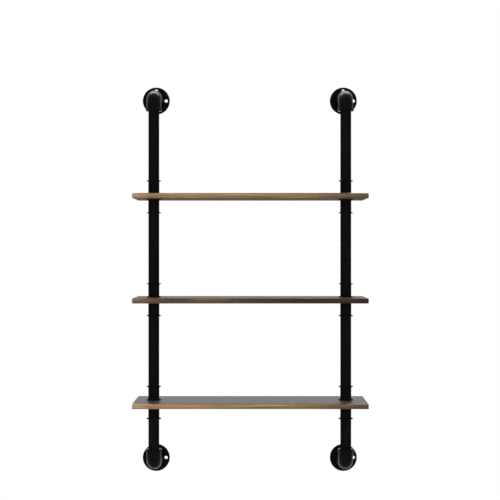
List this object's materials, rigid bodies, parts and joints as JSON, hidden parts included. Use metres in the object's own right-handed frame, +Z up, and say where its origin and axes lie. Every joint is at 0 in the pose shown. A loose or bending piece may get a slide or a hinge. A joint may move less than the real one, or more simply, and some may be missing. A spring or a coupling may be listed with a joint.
{
  "type": "pipe shelving unit",
  "caption": "Wall-mounted shelving unit: wooden boards clamped on two black threaded pipe posts that stand off the wall on elbows and screw flanges.",
  "frame": {"origin": "on the wall plane, midway between the four flange axes", "axes": "+Z up, +Y into the wall, +X to the right seen from the front; the wall is the plane y = 0"},
  "size_m": [0.61, 0.2, 1.041],
  "materials": {
    "pipe": "satin black",
    "fitting": "glossy black enamel",
    "board": "stained, clear satin varnish"
  },
  "bodies": {
    "root": {"board_bottom": "board", "board_middle": "board", "board_top": "board", "coupling_above_bottom_left": "pipe", "coupling_above_bottom_right": "pipe", "coupling_above_middle_left": "pipe", "coupling_above_middle_right": "pipe", "coupling_above_top_left": "pipe", "coupling_above_top_right": "pipe", "coupling_below_bottom_left": "pipe", "coupling_below_bottom_right": "pipe", "coupling_below_middle_left": "pipe", "coupling_below_middle_right": "pipe", "coupling_below_top_left": "pipe", "coupling_below_top_right": "pipe", "elbow_bottom_left": "fitting", "elbow_bottom_right": "fitting", "elbow_top_left": "fitting", "elbow_top_right": "fitting", "flange_bottom_left": "fitting", "flange_bottom_right": "fitting", "flange_top_left": "fitting", "flange_top_right": "fitting", "pipe_bottom_left": "pipe", "pipe_bottom_right": "pipe", "pipe_lower_left": "pipe", "pipe_lower_right": "pipe", "pipe_top_left": "pipe", "pipe_top_right": "pipe", "pipe_upper_left": "pipe", "pipe_upper_right": "pipe", "through_nipple_bottom_left": "pipe", "through_nipple_bottom_right": "pipe", "through_nipple_middle_left": "pipe", "through_nipple_middle_right": "pipe", "through_nipple_top_left": "pipe", "through_nipple_top_right": "pipe", "wall_nipple_bottom_left": "pipe", "wall_nipple_bottom_right": "pipe", "wall_nipple_top_left": "pipe", "wall_nipple_top_right": "pipe"}
  },
  "joints": []
}
